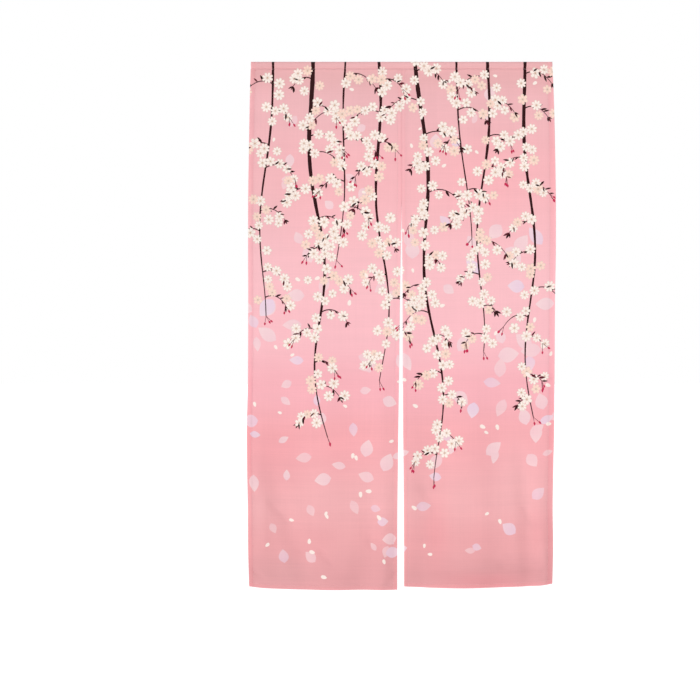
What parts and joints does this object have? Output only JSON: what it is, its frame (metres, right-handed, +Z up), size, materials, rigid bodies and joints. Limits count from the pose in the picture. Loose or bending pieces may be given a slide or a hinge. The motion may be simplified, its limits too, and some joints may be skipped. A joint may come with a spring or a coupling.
{
  "type": "split door curtain",
  "caption": "Tall door curtain of thin printed cloth, hung flat from a rod casing: two panels sewn together at the top and open below as a slit to walk through.",
  "frame": {"origin": "centre of the rod casing's top edge, half way through its depth", "axes": "+Z up along the drop, +X to the right of someone facing the printed front, -Y out of the front"},
  "size_m": [0.8721, 0.0214, 1.4899],
  "materials": {
    "cloth": "matt pink plain-weave cloth with faint slubs and a pale blossom print"
  },
  "bodies": {
    "root": {"heading": "cloth", "left_panel": "cloth", "right_panel": "cloth"}
  },
  "joints": []
}
